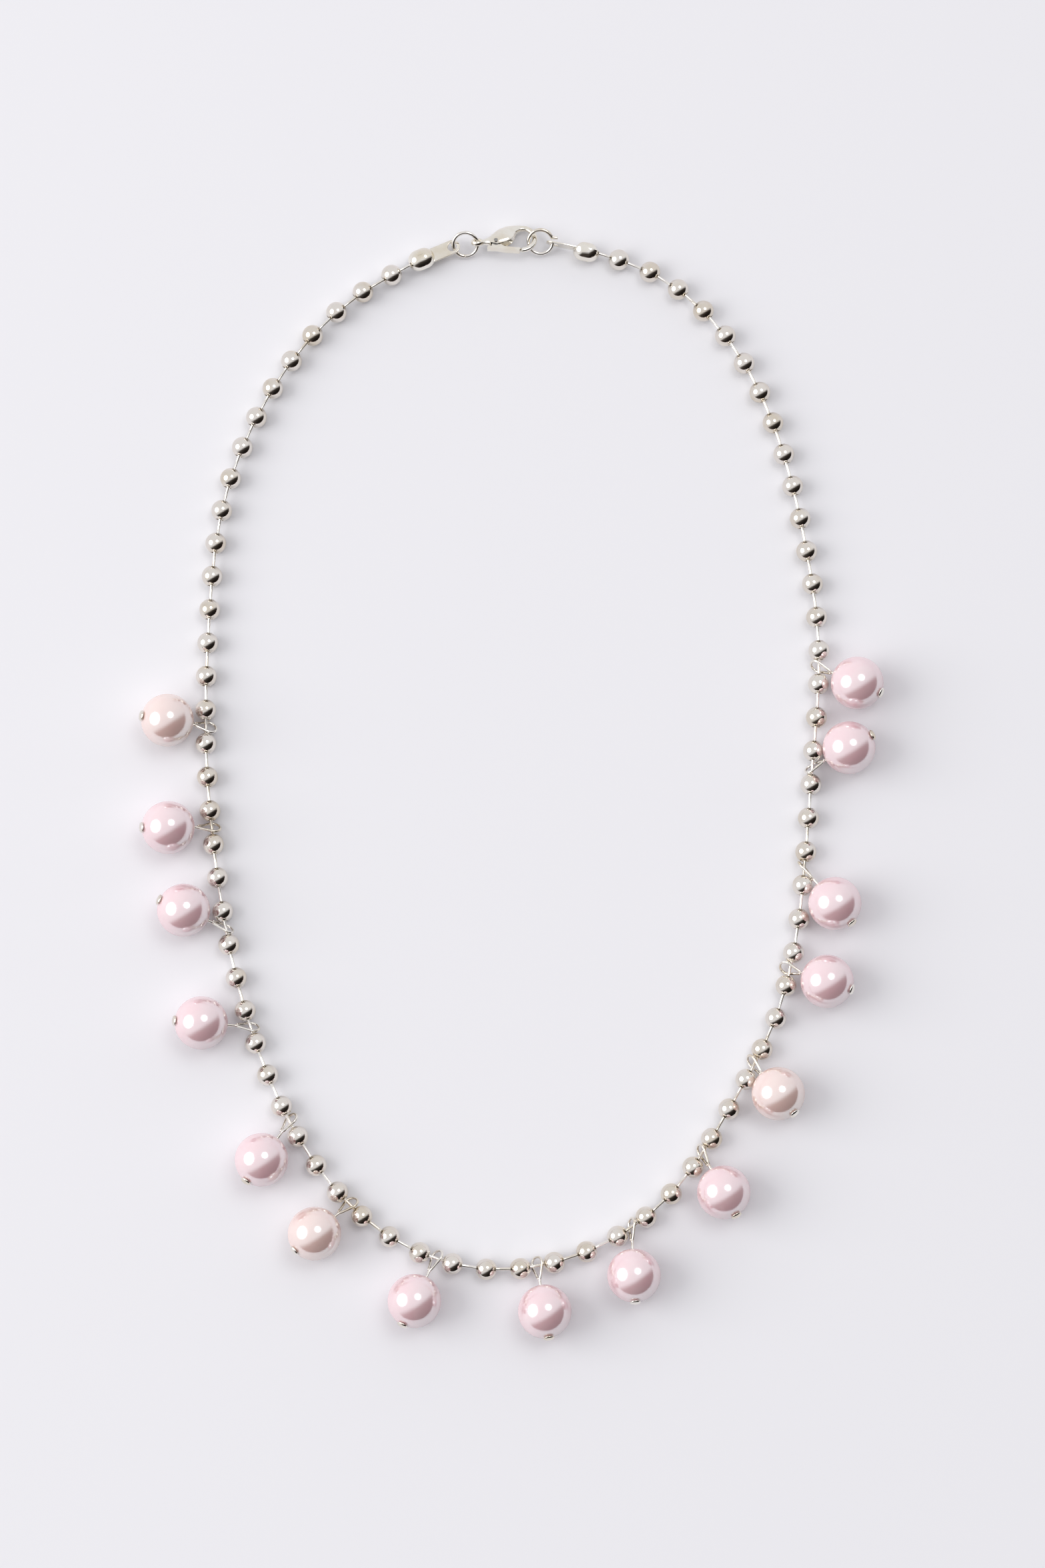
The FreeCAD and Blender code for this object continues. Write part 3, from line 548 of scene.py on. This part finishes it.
@dataclass
class Chain:
    """Ball-and-bar chain: hollow polished beads joined by bars with a ball head at each end."""

    bead_radius: float = 1.75
    bead_sheet: float = 0.18
    bead_hole: float = 0.65
    lip: float = 0.07
    bar_radius: float = 0.26
    head_radius: float = 0.71
    fillet_swell: float = 1.12
    fillet_start: float = 0.03
    fillet_end: float = 0.12
    waist: tuple[tuple[float, float], ...] = ((0.4, 0.97), (0.5, 0.96))
    bars: list[tuple[Vector, Vector]] = field(default_factory=list)

    def build(self) -> None:
        """Build every stretch of chain."""
        names = sorted(name for name in frame["nodes"] if name.startswith("bars_"))
        spans = {name: [self.read_bar(points) for points in loose_solids(name)] for name in names}
        self.bars = [span for group in spans.values() for span in group]
        for name in names:
            self.make_bars(name, spans[name])
            self.make_beads(name.replace("bars_", "beads_"))

    def read_bar(self, points: np.ndarray) -> tuple[Vector, Vector]:
        """Centres of a bar's two heads, from the bar's points."""
        middle = (points.max(0) + points.min(0)) / 2
        axis = np.linalg.svd(points - points.mean(0), full_matrices=False)[2][0]
        reach = (points - middle) @ axis
        low, high = reach.min() + self.head_radius, reach.max() - self.head_radius
        return Vector(middle + axis * low), Vector(middle + axis * high)

    def make_bars(self, name: str, spans: Sequence[tuple[Vector, Vector]]) -> None:
        """Build the bars of one stretch."""
        draft = Draft()
        for start, end in spans:
            along = end - start
            length = along.length
            place = Matrix.Translation(start) @ along.to_track_quat("Z", "Y").to_matrix().to_4x4()
            draft.turned(self.bar_profile(length), place, steps=24)
        piece = draft.make(f"{name}_polished", Finish.WIRE, sharp=60.0)
        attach(piece, body_of(name))
        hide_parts(name)
        LOG.info("%s: %d bars", piece.name, len(spans))

    def bar_profile(self, length: float) -> list[tuple[float, float]]:
        """Profile of a drawn wire, a little thinner half-way, that swells into a ball at each end.

        Args:
            length: distance between the centres of the two balls, in millimetres.

        Returns:
            Radius and height of each point, from one end to the other.
        """
        neck = math.degrees(math.acos(self.bar_radius / self.head_radius))
        shoulder = self.head_radius * math.sin(math.radians(neck))
        end = arc((0, 0), self.head_radius, -89, neck - 6, 16)
        end += [(self.bar_radius * self.fillet_swell, shoulder + self.fillet_start),
                (self.bar_radius, shoulder + self.fillet_end)]
        middle = [(self.bar_radius * share, length * place) for place, share in self.waist]
        return end + middle + [(radius, length - height) for radius, height in reversed(end)]

    def make_beads(self, name: str) -> None:
        """Build the beads of one stretch."""
        draft = Draft()
        solids = loose_solids(name)
        for points in solids:
            centre = Vector((points.max(0) + points.min(0)) / 2)
            ways = []
            for start, end in self.bars:
                if (start - centre).length < self.bead_radius:
                    ways.append((end - start).normalized())
                elif (end - centre).length < self.bead_radius:
                    ways.append((start - end).normalized())
            axis = ways[0] - (ways[1] if len(ways) > 1 else -ways[0])
            place = Matrix.Translation(centre) @ axis.to_track_quat("Z", "Y").to_matrix().to_4x4()
            draft.turned(self.bead_profile(), place, steps=48, closed=True)
        piece = draft.make(f"{name}_polished", Finish.BEAD, sharp=70.0)
        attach(piece, body_of(name))
        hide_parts(name)
        LOG.info("%s: %d beads", piece.name, len(solids))

    def bead_profile(self) -> list[tuple[float, float]]:
        """Closed profile of a thin bead whose two holes have rolled lips."""
        outer, inner = self.bead_radius, self.bead_radius - self.bead_sheet
        edge = math.degrees(math.acos((self.bead_hole + 2 * self.lip) / outer))
        outside = arc((0, 0), outer, -edge, edge, 26)
        height = outer * math.sin(math.radians(edge)) - self.lip * 0.3
        lip = arc((self.bead_hole + self.lip, height), self.lip * 1.15, 60, 180, 5)
        inside = arc((0, 0), inner, edge - 4, -edge + 4, 10)
        return outside + lip + inside + [(x, -y) for x, y in reversed(lip)]


# --- charms --------------------------------------------------------------------------------------


@dataclass
class Charm:
    """Pearl on a headpin whose eye goes round a bar of the chain."""

    number: int
    finish: Finish = Finish.PINK
    pearl_radius: float = 4.35
    bore_radius: float = 0.3
    bore_edge: float = 0.12
    wire_radius: float = 0.22
    eye_radius: float = 1.15
    neck_radius: float = 0.35
    eye_length: float = 2.25
    head_radius: float = 0.9
    head_height: float = 0.45
    head_play: float = 0.06

    def build(self) -> None:
        """Build the pearl and its headpin."""
        bar, _ = joint(f"charm_{self.number:02d}_swing")
        centre, pin = joint(f"pearl_{self.number:02d}_spin")
        reach = (centre - bar).length
        node = frame["nodes"][f"headpin_{self.number:02d}"]
        points = np.array([vertex.co for vertex in node.data.vertices]) / MM
        offsets = points - np.array(bar)
        heights = offsets @ np.array(pin)
        sides = offsets - np.outer(heights, np.array(pin))
        eye_part = sides[np.linalg.norm(sides, axis=1) > self.head_radius]
        lateral = Vector(np.linalg.svd(eye_part, full_matrices=False)[2][0])
        place = frame_of(bar, lateral, pin)
        foot = heights.min() + self.wire_radius + self.eye_radius
        self.make_pearl(frame_of(centre, lateral, pin))
        self.make_headpin(place, reach, foot)

    def make_pearl(self, place: Matrix) -> None:
        """Build the drilled ball with softened hole edges."""
        rim = self.bore_radius + self.bore_edge
        edge = math.degrees(math.acos(rim / self.pearl_radius))
        height = self.pearl_radius * math.sin(math.radians(edge))
        outside = arc((0, 0), self.pearl_radius, -edge, edge, 60)
        mouth = arc((rim, height - self.bore_edge), self.bore_edge, 75, 180, 5)
        profile = outside + mouth + [(x, -y) for x, y in reversed(mouth)]
        draft = Draft()
        draft.turned(profile, place, steps=96, closed=True)
        name = f"pearl_{self.number:02d}"
        piece = draft.make(f"{name}_lacquered", self.finish, sharp=80.0)
        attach(piece, name)
        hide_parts(name)
        LOG.info("%s", piece.name)

    def make_headpin(self, place: Matrix, reach: float, foot: float) -> None:
        """Bend the wire: its free end, round the eye, down the shank to the disc head.

        Args:
            place: frame of the eye, with Z along the pin and X across the eye.
            reach: distance from the bar to the pearl's centre.
            foot: height of the centre of the eye's round end.
        """
        near = foot + self.eye_length
        tip = near + self.neck_radius
        flank = math.degrees(math.asin((self.eye_radius - self.neck_radius) / self.eye_length))
        loop = [(x, 0.0, z) for x, z in arc((0, foot), self.eye_radius, 180 - flank, 360 + flank, 22)]
        step_in = 0.55 * self.wire_radius
        start = [(-0.05, 1.9 * step_in, tip + 0.02), (-self.neck_radius * 0.9, step_in, near + 0.05),
                 (-self.neck_radius * 1.5, 0.3 * step_in, near - 0.5)]
        finish = [(self.neck_radius * 1.45, 0.0, near - 0.45), (self.neck_radius * 0.75, 0.0, near + 0.08),
                  (0.0, 0.0, tip + 0.12)]
        line = smooth_line(start + loop + finish, 4)
        path = [place @ Vector(row) for row in line]
        path.append(place @ Vector((0, 0, tip + 0.5)))
        path.append(place @ Vector((0, 0, reach + self.pearl_radius + self.head_play)))
        draft = Draft()
        spots, sizes = wire_ends(path, self.wire_radius)
        draft.swept(spots, sizes, place.to_3x3() @ Vector((0, 1, 0)), steps=14)
        over = reach + self.pearl_radius + self.head_play
        radius, height = self.head_radius, self.head_height
        disc = [(0.01, over), (radius - 0.1, over), (radius - 0.02, over + 0.06), (radius, over + 0.14),
                (radius - 0.04, over + 0.22), (radius * 0.8, over + 0.33),
                (radius * 0.5, over + height - 0.04), (radius * 0.2, over + height), (0.01, over + height)]
        draft.turned(disc, place, steps=32)
        name = f"headpin_{self.number:02d}"
        piece = draft.make(f"{name}_bent", Finish.WIRE, sharp=50.0)
        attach(piece, name)
        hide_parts(name)
        LOG.info("%s", piece.name)


# --- closure -------------------------------------------------------------------------------------


@dataclass
class JumpRing:
    """Round wire ring, sawn through and pressed shut."""

    name: str
    joint_name: str
    roll: float
    cut: float
    sweep: float
    radius: float = 2.05
    wire: float = 0.3
    tail: float = 0.0
    tail_heading: float = -30.0

    def build(self) -> None:
        """Build the ring between its two contact points."""
        start, across = joint(self.joint_name)
        place = frame_of(start + across * self.radius, across, rolled(across, self.roll))
        turns = [math.radians(self.cut + self.sweep * step / 72) for step in range(73)]
        path = [place @ Vector((self.radius * math.cos(turn), self.radius * math.sin(turn), 0))
                for turn in turns]
        if self.tail:
            way = Quaternion((0, 0, 1), math.radians(self.cut + self.tail_heading)) @ Vector((1, 0, 0))
            way = place.to_3x3() @ way
            path = [path[0] + way * (self.tail * share) for share in (1.0, 0.5)] + path
        draft = Draft()
        spots, sizes = wire_ends(path, self.wire)
        draft.swept(spots, sizes, place.to_3x3() @ Vector((0, 0, 1)), steps=18)
        piece = draft.make(f"{self.name}_wire", Finish.WIRE, sharp=50.0)
        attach(piece, self.name)
        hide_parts(self.name)
        LOG.info("%s", piece.name)


@dataclass
class Connector:
    """Pressed cup connector: a domed cup closed over the end bar's head, and a flat strap."""

    name: str
    joint_name: str
    reverse: bool
    roll: float
    span: float = 7.1
    cup_radius: float = 1.85
    cup_length: float = 0.9
    cup_seat: float = 0.85
    lid_radius: float = 1.35
    sheet: float = 0.3
    strap_width: float = 2.6
    strap_reach: float = 6.9
    strap_hole: float = 0.8
    entry: float = 0.52

    def build(self) -> None:
        """Build the connector from its bar head towards its ring."""
        origin, across = joint(self.joint_name)
        if self.reverse:
            origin, across = origin + across * self.span, -across
        place = frame_of(origin, across, rolled(across, self.roll))
        seat = place @ Matrix.Translation((self.cup_seat, 0, 0))
        draft = Draft()
        draft.turned(self.shell(self.cup_radius, 1), seat, steps=64, stretch=self.cup_length, closed=True)
        draft.turned(self.shell(self.lid_radius, -1), seat, steps=64, stretch=self.cup_length, closed=True)
        cup = draft.make(f"{self.name}_cup", Finish.CAST)
        entry = Draft()
        sideways = place @ Matrix.Rotation(math.radians(-90), 4, "Y")
        entry.turned([(self.entry, 0.0), (self.entry, 2 * self.cup_radius)], sideways, steps=32)
        cup = carved(cup, [entry.make("entry_tool", Finish.CAST)])
        half = self.strap_width / 2
        outline = [(self.cup_seat + self.cup_length, -half)]
        outline += arc((self.strap_reach, 0), half, -90, 90, 20)
        outline += [(self.cup_seat + self.cup_length, half)]
        strap = Draft()
        strap.plate(outline, -self.sheet / 2, self.sheet / 2, place)
        hole = Draft()
        hole.turned([(self.strap_hole, -1.0), (self.strap_hole, 1.0)],
                    place @ Matrix.Translation((self.strap_reach, 0, 0)), steps=40)
        plate = carved(strap.make(f"{self.name}_strap", Finish.CAST), [hole.make("hole_tool", Finish.CAST)],
                       bevel=0.08)
        for piece in (cup, plate):
            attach(piece, self.name)
            LOG.info("%s", piece.name)
        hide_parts(self.name)

    def shell(self, radius: float, side: int) -> list[tuple[float, float]]:
        """Closed profile of a half-round shell on one side of the sheet's plane."""
        inner = radius - self.sheet
        low = side * self.sheet / 2
        outside = [(radius * math.cos(turn), side * radius * math.sin(turn))
                   for turn in (math.radians(5 + 85 * step / 14) for step in range(14))]
        inside = [(inner * math.cos(turn), side * inner * math.sin(turn))
                  for turn in (math.radians(85 * step / 14) for step in range(14, 0, -1))]
        rim = [(inner, 0.0), (inner + 0.1, -low), (radius - 0.1, -low), (radius, -low * 0.4)]
        return outside + [(0.01, side * radius), (0.01, side * inner)] + inside + rim


@dataclass
class Clasp:
    """Cast lobster clasp: ring eye, broad curved body and hook, with a sprung lever."""

    pivot: tuple[float, float] = (3.1, -0.2)
    hook_centre: tuple[float, float] = (7.4, 0.65)
    hook_radius: float = 2.22
    eye_radius: float = 0.875
    eye_wall: float = 0.235
    eye_depth: float = 0.4
    eye_tilt: float = 54.0
    slot_width: float = 1.3
    slot_start: float = 2.25
    slot_end: float = 6.2
    slot_top: float = 0.65

    def build(self) -> None:
        """Build the body and dress the lever, pin and spring."""
        eye, _ = joint("clasp_roll")
        pivot, normal = joint("lever_open")
        towards = (pivot - eye).normalized()
        lean = -math.atan2(self.pivot[1], self.pivot[0])
        place = frame_of(eye, Quaternion(normal, lean) @ towards, normal)
        self.make_body(place)
        finishes = {"clasp_lever": Finish.CAST, "clasp_pin": Finish.STEEL, "clasp_spring": Finish.STEEL}
        for name, finish in finishes.items():
            node = frame["nodes"][name]
            node.data.materials.clear()
            node.data.materials.append(finish.material())
            LOG.info("%s", name)

    def make_body(self, place: Matrix) -> None:
        """Loft the body and hook, add the eye and cut the lever's slot."""
        stations = [(0.62, 0.0, 0.40, 0.38), (1.3, 0.05, 0.5, 0.48), (2.1, 0.12, 0.85, 0.75),
                    (2.9, 0.3, 1.25, 0.92), (3.6, 0.55, 1.5, 1.0), (4.7, 1.2, 1.7, 1.0),
                    (5.4, 1.9, 1.35, 0.92), (6.2, 2.46, 0.85, 0.68), (7.2, 2.78, 0.52, 0.46)]
        hook = arc(self.hook_centre, self.hook_radius, 72, -84, 9)
        stations += [(x, y, 0.43, 0.4) for x, y in hook]
        tip = arc(self.hook_centre, self.hook_radius, -90, -94, 1)
        stations += [(tip[0][0], tip[0][1], 0.36, 0.34), (tip[1][0], tip[1][1], 0.2, 0.2)]
        line = smooth_line(stations, 6)
        path = [place @ Vector((row[0], row[1], 0)) for row in line]
        draft = Draft()
        sizes = [(row[2], row[3]) for row in line]
        draft.swept(path, sizes, place.to_3x3() @ Vector((0, 0, 1)), steps=28, power=2.4)
        body = draft.make("clasp_body_cast", Finish.CAST)
        slot = Draft()
        corners = [(self.slot_start, self.slot_top), (self.slot_start, -4.0), (self.slot_end, -4.0),
                   (self.slot_end, self.slot_top)]
        slot.plate(corners, -self.slot_width / 2, self.slot_width / 2, place)
        body = carved(body, [slot.make("slot_tool", Finish.CAST)], bevel=0.05)
        eye = Draft()
        section = [(self.eye_radius + self.eye_wall * math.cos(turn), self.eye_depth * math.sin(turn))
                   for turn in (2 * math.pi * step / 16 for step in range(16))]
        tilted = place @ Matrix.Rotation(math.radians(self.eye_tilt - 90), 4, "X")
        eye.turned(section, tilted, steps=40, closed=True)
        ring = eye.make("clasp_eye_cast", Finish.CAST)
        for piece in (body, ring):
            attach(piece, "clasp")
            LOG.info("%s", piece.name)
        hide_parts("clasp_body")


# --- studio --------------------------------------------------------------------------------------


@dataclass(frozen=True)
class Softbox:
    """Round soft light."""

    name: str
    azimuth: float
    elevation: float
    distance: float
    radius: float
    radiance: float

    def build(self) -> None:
        """Place the light, facing the necklace."""
        light = bpy.data.lights.new(self.name, "AREA")
        light.shape = "DISK"
        light.size = 2 * self.radius
        light.energy = self.radiance * math.pi * math.pi * self.radius ** 2
        lamp = bpy.data.objects.new(self.name, light)
        bpy.context.scene.collection.objects.link(lamp)
        turn, rise = math.radians(self.azimuth), math.radians(self.elevation)
        way = Vector((math.cos(turn) * math.cos(rise), math.sin(turn) * math.cos(rise), math.sin(rise)))
        lamp.location = way * self.distance
        lamp.rotation_euler = way.to_track_quat("Z", "Y").to_euler()
        LOG.info("%s", self.name)


@dataclass(frozen=True)
class DarkSide:
    """Round opening in the tent through which the dark room shows, with a soft edge."""

    azimuth: float
    elevation: float
    core: float
    edge: float
    tint: str

    def blend(self, tree: bpy.types.NodeTree, direction: bpy.types.NodeSocket,
              colour: bpy.types.NodeSocket) -> bpy.types.NodeSocket:
        """Lay the opening over a colour.

        Args:
            tree: node tree of the world.
            direction: direction of each ray.
            colour: what is there without the opening.

        Returns:
            The colour with the opening in it.
        """
        turn, rise = math.radians(self.azimuth), math.radians(self.elevation)
        way = (math.cos(turn) * math.cos(rise), math.sin(turn) * math.cos(rise), math.sin(rise))
        facing = add_node(tree, "ShaderNodeVectorMath", operation="DOT_PRODUCT", links={0: direction},
                          values={1: way})
        share = add_node(tree, "ShaderNodeMapRange", interpolation_type="SMOOTHSTEP",
                         links={"Value": facing.outputs["Value"]},
                         values={"From Min": math.cos(math.radians(self.edge)),
                                 "From Max": math.cos(math.radians(self.core))})
        mix = add_node(tree, "ShaderNodeMix", data_type="RGBA", links={0: share.outputs["Result"], 6: colour},
                       values={7: hex_to_linear(self.tint)})
        return mix.outputs[2]


@dataclass
class Studio:
    """Pale board, bright tent that is open on one side, two softboxes and the camera."""

    tent: str = "EDEDF0"
    tent_strength: float = 1.0
    dark_sides: tuple[DarkSide, ...] = (DarkSide(-58.0, -14.0, 66.0, 90.0, "46403D"),
                                        DarkSide(-50.0, -12.0, 36.0, 74.0, "1E1A18"))
    softboxes: tuple[Softbox, ...] = (Softbox("softbox_left", 178.0, 36.0, 1.6, 0.68, 2.7),
                                      Softbox("softbox_right", 46.0, 67.0, 1.8, 0.4, 2.7))
    board_size: float = 4.0
    lens: float = 91.84
    aim: tuple[float, float, float] = (1.81, -1.63, 0.0)
    distance: float = 662.25
    tilt: float = 6.5

    def build(self) -> None:
        """Build the surroundings."""
        self.make_board()
        self.make_tent()
        for softbox in self.softboxes:
            softbox.build()
        self.make_camera()
        settings = bpy.context.scene.view_settings
        settings.view_transform = "Standard"

    def make_board(self) -> None:
        """Lay the board that the necklace rests on."""
        half = self.board_size / 2 / MM
        draft = Draft()
        signs = ((-1, -1), (1, -1), (1, 1), (-1, 1))
        draft.points.extend(Vector((x * half, y * half, 0)) for x, y in signs)
        draft.faces.append([0, 1, 2, 3])
        draft.make("display_board", Finish.BOARD)

    def make_tent(self) -> None:
        """Light the scene with a bright surround that has one dark side."""
        world = bpy.data.worlds.new("light_tent")
        bpy.context.scene.world = world
        world.use_nodes = True
        tree = world.node_tree
        tree.nodes.clear()
        direction = add_node(tree, "ShaderNodeTexCoord").outputs["Generated"]
        base = add_node(tree, "ShaderNodeRGB")
        base.outputs[0].default_value = hex_to_linear(self.tent)
        colour = base.outputs[0]
        for dark_side in self.dark_sides:
            colour = dark_side.blend(tree, direction, colour)
        glow = add_node(tree, "ShaderNodeBackground", links={"Color": colour},
                        values={"Strength": self.tent_strength})
        add_node(tree, "ShaderNodeOutputWorld", links={"Surface": glow.outputs["Background"]})

    def make_camera(self) -> None:
        """Hang the camera over the necklace, tipped a little towards its front."""
        lens = bpy.data.cameras.new("camera")
        lens.lens = self.lens
        lens.clip_start = 0.01
        camera = bpy.data.objects.new("camera", lens)
        bpy.context.scene.collection.objects.link(camera)
        tilt = math.radians(self.tilt)
        away = Vector((0, -math.sin(tilt), math.cos(tilt)))
        camera.location = (Vector(self.aim) + away * self.distance) * MM
        camera.rotation_euler = (tilt, 0, 0)
        bpy.context.scene.camera = camera


# --- assembly ------------------------------------------------------------------------------------

PEACH_CHARMS = {1, 6, 11}
CHARM_COUNT = sum(name.startswith("pearl_") for name in frame["nodes"])


def main() -> None:
    """Build the studio and every piece of the necklace."""
    logging.basicConfig(level=logging.INFO, format="%(name)s: %(message)s")
    Studio().build()
    Chain().build()
    for number in range(1, CHARM_COUNT + 1):
        Charm(number, Finish.PEACH if number in PEACH_CHARMS else Finish.PINK).build()
    Connector("connector_left", "connector_left_roll", False, -15.0).build()
    JumpRing("jump_ring_left", "ring_left_roll", 32.0, -100.0, 352.0).build()
    Clasp().build()
    JumpRing("jump_ring_right", "ring_right_roll", 29.0, 30.0, 338.0, tail=0.9).build()
    Connector("connector_right", "connector_right_roll", True, -90.0).build()


if __name__ == "__main__":
    main()
